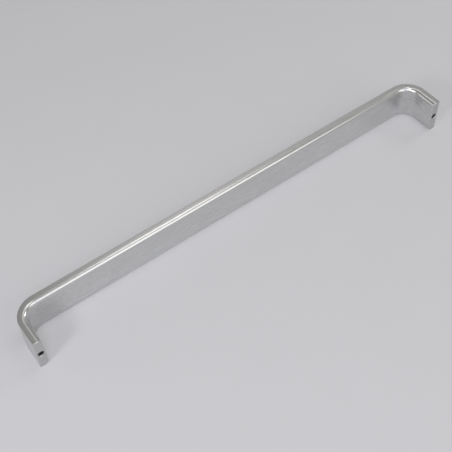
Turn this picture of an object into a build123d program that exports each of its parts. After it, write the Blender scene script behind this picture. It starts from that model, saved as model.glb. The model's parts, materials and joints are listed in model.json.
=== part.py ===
from build123d import *
import math
import os

# Bow handle for a cupboard door or a drawer front, in millimetres. It is one aluminium flat bar,
# bent twice into a U and held by two screws from behind the door.
# X runs along the bar. The sawn feet stand on the plane Y = 0, and the grip is on the -Y side.
# The bar's width stands along Z. The origin is midway between the two screw holes.

# The bar
hole_spacing = 320.0  # between the centres of the screw holes
projection = 31.0  # from the mounting plane to the front of the grip
bar_width = 26.0
bar_thickness = 6.0
inner_bend_radius = 10.0  # of the inner face, at each end of the grip
inner_edge_radius = 3.0  # the two long edges on the side that the fingers close round
outer_edge_radius = 0.5  # the two long edges on the outside of the U
sawn_edge_break = 0.2  # deburring chamfer round each sawn foot

# The tapped hole in each foot
thread_diameter = 4.0  # over the crests of the screw, and left smooth here
thread_pitch = 0.7
thread_length = 12.0  # from the mounting plane
drill_run_out = 3.0  # how far the tap drill goes on past the thread
drill_point_angle = 118.0
mouth_chamfer = 0.3  # of the countersink where the screw enters

foot_x = hole_spacing / 2


def bar_section():
    """Outline of the flat bar. Its local X points to the outside of the U."""
    outline = Rectangle(bar_thickness, bar_width)
    outline = fillet(outline.vertices().group_by(Axis.X)[0], inner_edge_radius)
    return fillet(outline.vertices().group_by(Axis.X)[-1], outer_edge_radius)


def bar_centre_line():
    """Line through the middle of the bar's thickness, from one foot round to the other."""
    grip_y = bar_thickness / 2 - projection
    corners = [(foot_x, 0), (foot_x, grip_y), (-foot_x, grip_y), (-foot_x, 0)]
    return FilletPolyline(*corners, radius=inner_bend_radius + bar_thickness / 2)


def bent_bar():
    """The flat bar carried round both bends, with its sawn ends deburred."""
    foot_plane = Plane(origin=(foot_x, 0, 0), x_dir=(1, 0, 0), z_dir=(0, -1, 0))
    bar = sweep(foot_plane * bar_section(), path=bar_centre_line())
    sawn_ends = bar.faces().group_by(Axis.Y)[-1]
    return chamfer(sawn_ends.edges(), sawn_edge_break)


def tapped_hole():
    """What the tap drill, the tap and the countersink take away, with its mouth at the origin."""
    thread_radius = thread_diameter / 2
    drill_radius = (thread_diameter - thread_pitch) / 2
    mouth_radius = thread_radius + mouth_chamfer
    drill_end = thread_length + drill_run_out
    point_length = drill_radius / math.tan(math.radians(drill_point_angle / 2))
    profile = Polyline(
        (0, mouth_chamfer),
        (mouth_radius, mouth_chamfer),
        (mouth_radius, 0),
        (thread_radius, -mouth_chamfer),
        (thread_radius, -thread_length),
        (drill_radius, -thread_length - thread_pitch / 2),
        (drill_radius, -drill_end),
        (0, -drill_end - point_length),
        close=True,
    )
    return revolve(make_face(profile), Axis.Y)


def pull_handle():
    """The finished handle, with one tapped hole in the middle of each foot."""
    hole = tapped_hole()
    return bent_bar() - Pos(foot_x, 0, 0) * hole - Pos(-foot_x, 0, 0) * hole


os.makedirs("parts", exist_ok=True)
export_step(pull_handle(), "parts/pull_handle.step")
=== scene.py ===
import json
from math import atan2, hypot, pi, radians, tan

import bmesh
import bpy
from mathutils import Matrix, Vector


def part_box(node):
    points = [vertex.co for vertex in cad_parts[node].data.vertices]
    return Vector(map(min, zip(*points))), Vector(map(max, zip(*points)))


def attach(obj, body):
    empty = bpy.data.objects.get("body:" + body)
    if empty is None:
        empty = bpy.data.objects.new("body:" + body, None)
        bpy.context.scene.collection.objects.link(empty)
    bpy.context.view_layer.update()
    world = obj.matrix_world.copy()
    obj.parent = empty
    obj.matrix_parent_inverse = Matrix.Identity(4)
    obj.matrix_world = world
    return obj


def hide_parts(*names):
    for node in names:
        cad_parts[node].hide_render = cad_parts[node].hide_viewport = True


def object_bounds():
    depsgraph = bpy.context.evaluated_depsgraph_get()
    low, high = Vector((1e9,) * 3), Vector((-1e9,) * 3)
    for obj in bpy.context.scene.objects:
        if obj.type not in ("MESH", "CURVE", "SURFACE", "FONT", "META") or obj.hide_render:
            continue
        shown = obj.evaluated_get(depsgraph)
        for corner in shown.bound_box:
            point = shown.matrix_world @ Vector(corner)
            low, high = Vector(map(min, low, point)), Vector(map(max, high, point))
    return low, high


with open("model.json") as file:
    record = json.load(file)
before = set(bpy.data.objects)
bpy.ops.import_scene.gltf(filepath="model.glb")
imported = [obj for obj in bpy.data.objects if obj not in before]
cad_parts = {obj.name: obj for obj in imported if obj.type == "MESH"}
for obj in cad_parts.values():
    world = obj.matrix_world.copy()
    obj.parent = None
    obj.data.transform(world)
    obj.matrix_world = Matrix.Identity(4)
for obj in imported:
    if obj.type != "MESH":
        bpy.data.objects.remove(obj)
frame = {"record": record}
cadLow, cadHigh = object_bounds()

# Bow handle of satin anodised aluminium, lying on one long edge on a pale sheet.
# Metres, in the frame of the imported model: X along the bar, feet on Y = 0, width along Z.


def deselectAll():
    if bpy.context.object and bpy.context.object.mode != "OBJECT":
        bpy.ops.object.mode_set(mode="OBJECT")
    bpy.ops.object.select_all(action="DESELECT")


def workOn(piece):
    deselectAll()
    bpy.context.view_layer.objects.active = piece
    piece.select_set(True)


def pickFaces(piece, wanted):  # in edit mode: wanted(centre, normal) says which faces
    bpy.ops.mesh.select_mode(type="FACE")
    bpy.ops.mesh.select_all(action="DESELECT")
    mesh = bmesh.from_edit_mesh(piece.data)
    for face in mesh.faces:
        face.select_set(wanted(face.calc_center_median(), face.normal))
    bmesh.update_edit_mesh(piece.data)


def pickPoints(piece, wanted):
    bpy.ops.mesh.select_mode(type="VERT")
    bpy.ops.mesh.select_all(action="DESELECT")
    mesh = bmesh.from_edit_mesh(piece.data)
    for point in mesh.verts:
        point.select_set(wanted(point.co))
    mesh.select_flush_mode()
    bmesh.update_edit_mesh(piece.data)


def pushOut(offset):  # extrudes what is picked
    bpy.ops.mesh.extrude_region_move(TRANSFORM_OT_translate={"value": offset})


def applyModifier(piece, kind, **values):
    workOn(piece)
    modifier = piece.modifiers.new(kind.title(), kind)
    for name, value in values.items():
        setattr(modifier, name, value)
    bpy.ops.object.modifier_apply(modifier=modifier.name)


barLow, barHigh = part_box("pull_handle")
screwHoles = [m for m in frame["record"]["mounts"] if m["kind"] == "threaded_hole"]
footX = abs(screwHoles[0]["pos_m"][0])

handle = {
    "thickness": 2 * (barHigh.x - footX),  # the screw hole is in the middle of it
    "width": barHigh.z - barLow.z,
    "innerBend": 0.010,  # radius of the inner face at each bend
    "bendSteps": 36,
    "innerEdge": 0.003,  # rounding of the two long edges inside the U
    "innerEdgeSteps": 12,
    "outerEdge": 0.0005,
    "outerEdgeSteps": 4,
    "sawnEdgeBreak": 0.0002,
}
bendX = footX - handle["thickness"] / 2 - handle["innerBend"]  # centre of the right bend
bendY = barLow.y + handle["thickness"] + handle["innerBend"]


def modelBar(h):
    startY = -h["sawnEdgeBreak"]
    legLength = startY - bendY
    deselectAll()
    bpy.ops.mesh.primitive_plane_add(size=1, location=(footX, startY, 0), rotation=(pi / 2, 0, 0))
    bar = bpy.context.object
    bar.name = "handle"
    bar.scale = (h["thickness"], h["width"], 1)
    bpy.ops.object.transform_apply(location=True, rotation=True, scale=True)
    bpy.ops.object.mode_set(mode="EDIT")
    pickPoints(bar, lambda p: p.x < footX)
    bpy.ops.mesh.bevel(offset=h["innerEdge"], segments=h["innerEdgeSteps"], affect="VERTICES")
    outside = footX + h["thickness"] * 0.4  # the inner rounding may reach the middle
    pickPoints(bar, lambda p: p.x > outside)
    bpy.ops.mesh.bevel(offset=h["outerEdge"], segments=h["outerEdgeSteps"], affect="VERTICES")
    bpy.ops.mesh.select_mode(type="FACE")
    bpy.ops.mesh.select_all(action="SELECT")
    pushOut((0, -legLength, 0))
    bpy.ops.mesh.spin(steps=h["bendSteps"], angle=pi / 2, center=(bendX, bendY, 0), axis=(0, 0, 1))
    pushOut((-2 * bendX, 0, 0))
    bpy.ops.mesh.spin(steps=h["bendSteps"], angle=pi / 2, center=(-bendX, bendY, 0), axis=(0, 0, 1))
    pushOut((0, legLength, 0))
    bpy.ops.mesh.select_all(action="SELECT")
    bpy.ops.mesh.remove_doubles(threshold=1e-6)
    bpy.ops.mesh.normals_make_consistent(inside=False)
    almostSquare = 0.9  # a foot's normal points along Y
    pickFaces(bar, lambda centre, normal: normal.y > almostSquare and centre.y > startY * 1.1)
    bpy.ops.mesh.inset(thickness=h["sawnEdgeBreak"], depth=h["sawnEdgeBreak"])
    bpy.ops.object.mode_set(mode="OBJECT")
    return bar


screwHole = {
    "threadRadius": screwHoles[0]["dims"]["r_mm"] / 1000,
    "threadPitch": 0.0007,
    "threadLength": 0.012,
    "threadFlank": radians(30),
    "rootShare": 7 / 8,  # of the pitch, measured along the axis at the ridge's root
    "rootSunk": 0.00003,  # how far the root lies inside the wall
    "drillRunOut": 0.003,
    "drillPoint": radians(118),
    "drillTip": 0.00002,
    "mouthChamfer": 0.0003,
    "steps": 64,
}


def modelRings(name, x, rings, steps):  # turned along Y: rings of (radius, y), from the mouth inwards
    deselectAll()
    bpy.ops.mesh.primitive_circle_add(vertices=steps, radius=rings[0][0], fill_type="NGON",
                                      location=(x, rings[0][1], 0), rotation=(pi / 2, 0, 0))
    shape = bpy.context.object
    shape.name = name
    bpy.ops.object.transform_apply(location=True, rotation=True, scale=True)
    bpy.ops.object.mode_set(mode="EDIT")
    bpy.ops.mesh.select_all(action="SELECT")
    for (radius, y), (nextRadius, nextY) in zip(rings, rings[1:]):
        pushOut((0, nextY - y, 0))
        shrink = nextRadius / radius
        bpy.ops.transform.resize(value=(shrink, 1, shrink), center_override=(x, nextY, 0))
    bpy.ops.mesh.select_all(action="SELECT")
    bpy.ops.mesh.remove_doubles(threshold=1e-7)
    bpy.ops.mesh.normals_make_consistent(inside=False)
    bpy.ops.object.mode_set(mode="OBJECT")
    return shape


def modelPlug(x, h):  # what the drill, the tap's outer diameter and the countersink take away
    mouthRadius = h["threadRadius"] + h["mouthChamfer"]
    drillRadius = h["threadRadius"] - h["threadPitch"] / 2
    drillEnd = -h["threadLength"] - h["drillRunOut"]
    tip = h["drillTip"]
    return modelRings("plug", x, [
        (mouthRadius + h["mouthChamfer"], h["mouthChamfer"]),
        (h["threadRadius"], -h["mouthChamfer"]),
        (h["threadRadius"], -h["threadLength"]),
        (drillRadius, -h["threadLength"] - h["threadPitch"] / 2),
        (drillRadius, drillEnd),
        (tip, drillEnd - (drillRadius - tip) / tan(h["drillPoint"] / 2)),
    ], h["steps"])


def modelThread(x, h):  # the ridge that the tap leaves, one closed helix with its root sunk in the wall
    pitch = h["threadPitch"]
    root = h["threadRadius"] + h["rootSunk"]
    crest = h["threadRadius"] - pitch / 2
    rootHalf = pitch * h["rootShare"] / 2
    crestHalf = rootHalf - (root - crest) * tan(h["threadFlank"])
    startY = -h["threadLength"] + rootHalf
    past = pitch * 0.4  # beyond the mouth, for the countersink to trim
    turns = int((h["threadLength"] + past) / pitch)
    deselectAll()
    bpy.ops.mesh.primitive_plane_add(size=2, location=(x, startY, 0))
    ridge = bpy.context.object
    ridge.name = "thread"
    profile = [(root, -rootHalf), (root, rootHalf), (crest, crestHalf), (crest, -crestHalf)]
    bpy.ops.object.mode_set(mode="EDIT")
    bpy.ops.mesh.delete(type="ONLY_FACE")
    corners = {(-1, -1): 0, (-1, 1): 1, (1, 1): 2, (1, -1): 3}
    mesh = bmesh.from_edit_mesh(ridge.data)
    for point in mesh.verts:
        radius, y = profile[corners[(round(point.co.x), round(point.co.y))]]
        point.co = Vector((radius, y, 0))
    bmesh.update_edit_mesh(ridge.data)
    bpy.ops.object.mode_set(mode="OBJECT")
    applyModifier(ridge, "SCREW", axis="Y", screw_offset=pitch, iterations=turns, steps=h["steps"],
                  render_steps=h["steps"], use_merge_vertices=False, use_smooth_shade=False)
    workOn(ridge)
    bpy.ops.object.transform_apply(location=True, rotation=True, scale=True)
    bpy.ops.object.mode_set(mode="EDIT")
    bpy.ops.mesh.select_mode(type="EDGE")
    bpy.ops.mesh.select_all(action="DESELECT")
    bpy.ops.mesh.select_non_manifold()
    bpy.ops.mesh.fill()
    bpy.ops.mesh.select_all(action="SELECT")
    bpy.ops.mesh.normals_make_consistent(inside=False)
    bpy.ops.object.mode_set(mode="OBJECT")
    return ridge


def modelCountersink(x, h):  # trims the ridge where the thread runs out at the mouth
    deep = h["mouthChamfer"] + h["threadPitch"]
    wide = h["threadRadius"] + h["mouthChamfer"]
    return modelRings("countersink", x, [
        (wide + h["threadPitch"] * 2, h["threadPitch"] * 2),
        (wide - deep, -deep),
    ], h["steps"])


def combine(piece, other, operation):
    applyModifier(piece, "BOOLEAN", operation=operation, object=other, solver="MANIFOLD")
    bpy.data.objects.remove(other)


def tapFoot(bar, x, h):
    combine(bar, modelPlug(x, h), "DIFFERENCE")
    ridge = modelThread(x, h)
    combine(ridge, modelCountersink(x, h), "DIFFERENCE")
    combine(bar, ridge, "UNION")


# Where a point was on the straight bar: along it, in from its outer face, up its width.
def unbend(point, h):
    middle = h["innerBend"] + h["thickness"] / 2
    side = 1 if point.x > 0 else -1
    past = side * point.x - bendX
    if past <= 0:
        along, depth = side * point.x, point.y - barLow.y
    elif point.y > bendY:
        along, depth = bendX + middle * pi / 2 + point.y - bendY, barHigh.x - side * point.x
    else:
        along = bendX + middle * atan2(past, bendY - point.y)
        depth = h["innerBend"] + h["thickness"] - hypot(past, bendY - point.y)
    return side * along, depth, point.z


def finishSurface(bar, h):
    workOn(bar)
    bpy.ops.object.shade_smooth_by_angle(angle=radians(30))
    applyModifier(bar, "WEIGHTED_NORMAL", keep_sharp=True)
    unbent = bar.data.attributes.new("unbent", "FLOAT_VECTOR", "POINT")
    for point, place in zip(bar.data.vertices, unbent.data):
        place.vector = unbend(point.co, h)


bar = modelBar(handle)
print("bar bent:", len(bar.data.polygons), "faces")
for x in (footX, -footX):
    tapFoot(bar, x, screwHole)
finishSurface(bar, handle)
print("feet tapped:", len(bar.data.polygons), "faces")


def addNode(tree, kind, inputs=None, **settings):  # a socket in inputs is linked, anything else is set
    node = tree.nodes.new(kind)
    for name, value in settings.items():
        setattr(node, name, value)
    for name, value in (inputs or {}).items():
        if isinstance(value, bpy.types.NodeSocket):
            tree.links.new(value, node.inputs[name])
        else:
            node.inputs[name].default_value = value
    return node


def newGroup(name, inputs, outputs):  # an empty node group with its sockets
    group = bpy.data.node_groups.new(name, "ShaderNodeTree")
    for socket, kind in inputs.items():
        group.interface.new_socket(socket, in_out="INPUT", socket_type=kind)
    for socket, kind in outputs.items():
        group.interface.new_socket(socket, in_out="OUTPUT", socket_type=kind)
    return group, addNode(group, "NodeGroupInput").outputs, addNode(group, "NodeGroupOutput").inputs


def makeToolLines():  # fine lines along X of the vector, as a die or a saw leaves them
    group, given, result = newGroup(
        "toolLines",
        {"Vector": "NodeSocketVector", "Length": "NodeSocketFloat", "Pitch": "NodeSocketFloat"},
        {"Lines": "NodeSocketFloat"})
    along = addNode(group, "ShaderNodeMath", {0: 1.0, 1: given["Length"]}, operation="DIVIDE")
    across = addNode(group, "ShaderNodeMath", {0: 1.0, 1: given["Pitch"]}, operation="DIVIDE")
    stretch = addNode(group, "ShaderNodeCombineXYZ",
                      {"X": along.outputs[0], "Y": across.outputs[0], "Z": across.outputs[0]})
    drawn = addNode(group, "ShaderNodeVectorMath", {0: given["Vector"], 1: stretch.outputs[0]},
                    operation="MULTIPLY")
    lines = addNode(group, "ShaderNodeTexNoise",
                    {"Vector": drawn.outputs[0], "Scale": 1.0, "Detail": 2.0, "Roughness": 0.6})
    group.links.new(lines.outputs["Fac"], result["Lines"])
    return group


def makeEtchedGrain():  # the matte grain that etching leaves under the anodised layer
    group, given, result = newGroup(
        "etchedGrain",
        {"Vector": "NodeSocketVector", "Size": "NodeSocketFloat"},
        {"Grain": "NodeSocketFloat"})
    scale = addNode(group, "ShaderNodeMath", {0: 1.0, 1: given["Size"]}, operation="DIVIDE")
    grain = addNode(group, "ShaderNodeTexNoise", {
        "Vector": given["Vector"], "Scale": scale.outputs[0], "Detail": 3.0, "Roughness": 0.55})
    group.links.new(grain.outputs["Fac"], result["Grain"])
    return group


toolLines = makeToolLines()
etchedGrain = makeEtchedGrain()


def newMaterial(name):
    material = bpy.data.materials.new(name)
    material.use_nodes = True
    return material, material.node_tree, material.node_tree.nodes["Principled BSDF"].inputs


def placeGroup(tree, group, inputs):
    return addNode(tree, "ShaderNodeGroup", inputs, node_tree=group).outputs[0]


usualNoise = (0.25, 0.75)  # noise seldom goes beyond these


def blend(tree, mask, low, high):  # a number or a colour between low and high, by the mask
    if isinstance(low, tuple):
        mix = addNode(tree, "ShaderNodeMix", data_type="RGBA")
        tree.links.new(mask, mix.inputs["Factor"])
        mix.inputs[6].default_value = (*low, 1)
        mix.inputs[7].default_value = (*high, 1)
        return mix.outputs[2]
    spread = {"Value": mask, "From Min": usualNoise[0], "From Max": usualNoise[1],
              "To Min": low, "To Max": high}
    return addNode(tree, "ShaderNodeMapRange", spread).outputs[0]


def roughen(tree, shader, layers):  # layers of (mask, depth in metres), summed into one bump
    height = None
    for mask, depth in layers:
        terms = {0: mask, 1: depth} if height is None else {0: mask, 1: depth, 2: height}
        kind = "MULTIPLY" if height is None else "MULTIPLY_ADD"
        height = addNode(tree, "ShaderNodeMath", terms, operation=kind).outputs[0]
    bump = addNode(tree, "ShaderNodeBump", {"Height": height, "Distance": 1.0, "Strength": 1.0})
    tree.links.new(bump.outputs[0], shader["Normal"])


satin = {
    "colour": ((0.678, 0.678, 0.678), (0.694, 0.694, 0.694)),
    "roughness": (0.265, 0.295),
    "lines": {"Length": 0.030, "Pitch": 0.00028},  # left by the die that the bar was drawn through
    "lineDepth": 0.0000005,
    "streaks": {"Length": 0.160, "Pitch": 0.0014},
    "grain": {"Size": 0.00007},
    "grainDepth": 0.0000003,
}


def makeSatin(s):  # all over the bar; the pattern follows the bar round its bends
    material, tree, shader = newMaterial("satinAnodised")
    place = addNode(tree, "ShaderNodeAttribute", attribute_name="unbent").outputs["Vector"]
    lines = placeGroup(tree, toolLines, {"Vector": place, **s["lines"]})
    streaks = placeGroup(tree, toolLines, {"Vector": place, **s["streaks"]})
    grain = placeGroup(tree, etchedGrain, {"Vector": place, **s["grain"]})
    tree.links.new(blend(tree, streaks, *s["colour"]), shader["Base Color"])
    tree.links.new(blend(tree, lines, *s["roughness"]), shader["Roughness"])
    roughen(tree, shader, [(lines, s["lineDepth"]), (grain, s["grainDepth"])])
    shader["Metallic"].default_value = 1
    return material


sawn = {
    "colour": ((0.56, 0.56, 0.56), (0.62, 0.62, 0.62)),
    "roughness": (0.36, 0.46),
    "marks": {"Length": 0.012, "Pitch": 0.00022},
    "markDepth": 0.000006,
    "blade": (footX + 0.050, -0.115),  # X and Z of the saw's centre, mirrored for the other foot
    "grain": {"Size": 0.00009},
    "grainDepth": 0.000002,
}


def makeSawn(s):  # the two feet, with the arcs that the saw leaves
    material, tree, shader = newMaterial("sawnAnodised")
    place = addNode(tree, "ShaderNodeTexCoord").outputs["Object"]
    parts = addNode(tree, "ShaderNodeSeparateXYZ", {0: place}).outputs
    outwards = addNode(tree, "ShaderNodeMath", {0: parts["X"]}, operation="ABSOLUTE").outputs[0]
    bladeX, bladeZ = s["blade"]
    fromBladeX = addNode(tree, "ShaderNodeMath", {0: outwards, 1: bladeX},
                         operation="SUBTRACT").outputs[0]
    fromBladeZ = addNode(tree, "ShaderNodeMath", {0: parts["Z"], 1: bladeZ},
                         operation="SUBTRACT").outputs[0]
    fromBlade = addNode(tree, "ShaderNodeCombineXYZ", {"X": fromBladeX, "Y": fromBladeZ}).outputs[0]
    radius = addNode(tree, "ShaderNodeVectorMath", {0: fromBlade}, operation="LENGTH").outputs["Value"]
    arc = addNode(tree, "ShaderNodeCombineXYZ", {"X": fromBladeX, "Y": radius}).outputs[0]
    marks = placeGroup(tree, toolLines, {"Vector": arc, **s["marks"]})
    grain = placeGroup(tree, etchedGrain, {"Vector": place, **s["grain"]})
    tree.links.new(blend(tree, marks, *s["colour"]), shader["Base Color"])
    tree.links.new(blend(tree, grain, *s["roughness"]), shader["Roughness"])
    roughen(tree, shader, [(marks, s["markDepth"]), (grain, s["grainDepth"])])
    shader["Metallic"].default_value = 1
    return material


# painted shade: the dark colour below stands in for the shade inside the screw holes
tapped = {
    "colour": ((0.10, 0.10, 0.10), (0.16, 0.16, 0.16)),
    "roughness": (0.40, 0.55),
    "grain": {"Size": 0.00006},
    "grainDepth": 0.000002,
}


def makePaintedBoreShade(s):  # inside the screw holes: painted shade, a dark base colour that stands in for the shade deep in the bore
    material, tree, shader = newMaterial("paintedBoreShade")
    place = addNode(tree, "ShaderNodeTexCoord").outputs["Object"]
    grain = placeGroup(tree, etchedGrain, {"Vector": place, **s["grain"]})
    tree.links.new(blend(tree, grain, *s["colour"]), shader["Base Color"])
    tree.links.new(blend(tree, grain, *s["roughness"]), shader["Roughness"])
    roughen(tree, shader, [(grain, s["grainDepth"])])
    shader["Metallic"].default_value = 1
    return material


def finishFaces(bar, h):  # satin everywhere, sawn on the feet, painted shade in the screw holes
    bar.data.materials.clear()
    for material in (makeSatin(satin), makeSawn(sawn), makePaintedBoreShade(tapped)):
        bar.data.materials.append(material)
    bore = h["threadRadius"] * 1.01
    gripInside = barLow.y + handle["thickness"]
    flat = 0.99  # a foot's normal, against the countersink's
    for face in bar.data.polygons:
        centre = face.center
        onFoot = centre.y > -h["mouthChamfer"] * 0.1 and face.normal.y > flat
        inHole = centre.y > gripInside and hypot(abs(centre.x) - footX, centre.z) < bore
        face.material_index = 1 if onFoot else 2 if inHole else 0


finishFaces(bar, screwHole)
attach(bar, "root")
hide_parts("pull_handle")
print("handle finished:", len(bar.data.materials), "materials")

sheet = {
    "size": 6.0,
    "colour": ((0.585, 0.585, 0.590), (0.610, 0.610, 0.615)),
    "blotch": 0.045,
    "fibre": 0.00035,
    "fibreDepth": 0.00001,
    "roughness": 0.9,
    "glowColour": (0.580, 0.574, 0.605, 1),
    "glowShare": 0.35,  # lit from below as well, which makes the shadows faint
    "mirroredGlowShare": 0.05,  # the same, as the handle reflects it
}


def laySheet(s):
    deselectAll()
    bpy.ops.mesh.primitive_plane_add(size=s["size"], location=(0, 0, cadLow.z))
    floor = bpy.context.object
    floor.name = "paleSheet"
    material, tree, shader = newMaterial("paleSheet")
    place = addNode(tree, "ShaderNodeTexCoord").outputs["Object"]
    blotches = placeGroup(tree, etchedGrain, {"Vector": place, "Size": s["blotch"]})
    fibres = placeGroup(tree, etchedGrain, {"Vector": place, "Size": s["fibre"]})
    tree.links.new(blend(tree, blotches, *s["colour"]), shader["Base Color"])
    roughen(tree, shader, [(fibres, s["fibreDepth"])])
    shader["Roughness"].default_value = s["roughness"]
    ray = addNode(tree, "ShaderNodeLightPath").outputs
    mirrored = addNode(tree, "ShaderNodeMath", {0: ray["Is Glossy Ray"], 1: ray["Is Transmission Ray"]},
                       operation="MAXIMUM").outputs[0]
    inMirror = addNode(tree, "ShaderNodeMath", {0: mirrored, 1: s["mirroredGlowShare"]},
                       operation="MULTIPLY").outputs[0]
    share = addNode(tree, "ShaderNodeMath", {0: ray["Is Camera Ray"], 1: s["glowShare"], 2: inMirror},
                    operation="MULTIPLY_ADD").outputs[0]
    glow = addNode(tree, "ShaderNodeEmission", {"Color": s["glowColour"], "Strength": 1.0}).outputs[0]
    lit = tree.nodes["Principled BSDF"].outputs[0]
    mixed = addNode(tree, "ShaderNodeMixShader", {0: share, 1: lit, 2: glow})
    tree.links.new(mixed.outputs[0], tree.nodes["Material Output"].inputs["Surface"])
    floor.data.materials.append(material)


laySheet(sheet)
print("sheet laid")

view = {
    "lens": 67.494,
    "clipStart": 0.01,
    "target": Vector((0.01173, -0.01900, cadLow.z)),
    "azimuth": radians(146.137),  # from the door side
    "elevation": radians(51.785),
    "roll": radians(-3.060),
    "distance": 0.56933,
}


def turned(azimuth, elevation):  # of something that looks down its own -Z, back at the centre
    return Matrix.Rotation(azimuth, 4, "Z") @ Matrix.Rotation(pi / 2 - elevation, 4, "X")


def placeCamera(v):
    deselectAll()
    bpy.ops.object.camera_add()
    camera = bpy.context.object
    camera.name = "camera"
    camera.data.lens = v["lens"]
    camera.data.clip_start = v["clipStart"]
    facing = turned(v["azimuth"], v["elevation"]) @ Matrix.Rotation(v["roll"], 4, "Z")
    place = v["target"] + facing.col[2].to_3d() * v["distance"]
    camera.matrix_world = Matrix.Translation(place) @ facing
    bpy.context.scene.camera = camera


placeCamera(view)
print("camera placed")

lamps = {  # where each disc hangs, its half angle seen from the handle, its radiance and its tint
    "keyFront": {"azimuth": 146, "elevation": 49, "spread": 7.5, "radiance": 14.2, "tint": (0.86, 0.86, 1)},
    "keyRight": {"azimuth": 108, "elevation": 35, "spread": 7.5, "radiance": 18.8, "tint": (0.97, 0.97, 1)},
    "leftSide": {"azimuth": 270, "elevation": 35, "spread": 7.5, "radiance": 7.9, "tint": (0.98, 0.99, 1)},
    "doorSide": {"azimuth": 198, "elevation": 35, "spread": 22, "radiance": 1.3, "tint": (0.98, 1, 0.96)},
    "doorSideLow": {"azimuth": 180, "elevation": 14, "spread": 13, "radiance": 0.5, "tint": (0.86, 0.84, 1)},
    "overhead": {"azimuth": 270, "elevation": 77, "spread": 7.5, "radiance": 4.0, "tint": (1, 1, 0.98)},
    "gripRight": {"azimuth": 57, "elevation": 20, "spread": 9, "radiance": 1.5, "tint": (1, 1, 1)},
    "gripSide": {"azimuth": 326, "elevation": 49, "spread": 22, "radiance": 0.225, "tint": (0.97, 1, 1)},
    "gripHigh": {"azimuth": 327, "elevation": 63, "spread": 7.5, "radiance": 1.15, "tint": (1, 0.96, 0.97)},
}
lampDistance = 1.0
lampAim = Vector((0, (barLow.y + barHigh.y) / 2, cadLow.z))


def hangLamp(name, lamp):
    deselectAll()
    facing = turned(radians(lamp["azimuth"]), radians(lamp["elevation"]))
    radius = lampDistance * tan(radians(lamp["spread"]))
    bpy.ops.object.light_add(type="AREA")
    light = bpy.context.object
    light.name = name
    light.data.shape = "DISK"
    light.data.size = 2 * radius
    light.data.energy = lamp["radiance"] * pi * (pi * radius ** 2)
    light.data.color = lamp["tint"]
    light.visible_camera = False
    light.matrix_world = Matrix.Translation(lampAim + facing.col[2].to_3d() * lampDistance) @ facing


for name, lamp in lamps.items():
    hangLamp(name, lamp)
print("lamps hung:", len(lamps))

room = {"colour": (0.256, 0.251, 0.240, 1), "strength": 1}


def lightRoom(r):
    world = bpy.data.worlds.new("studio")
    world.use_nodes = True
    background = world.node_tree.nodes["Background"].inputs
    background["Color"].default_value = r["colour"]
    background["Strength"].default_value = r["strength"]
    bpy.context.scene.world = world


lightRoom(room)
bpy.context.scene.view_settings.view_transform = "Standard"
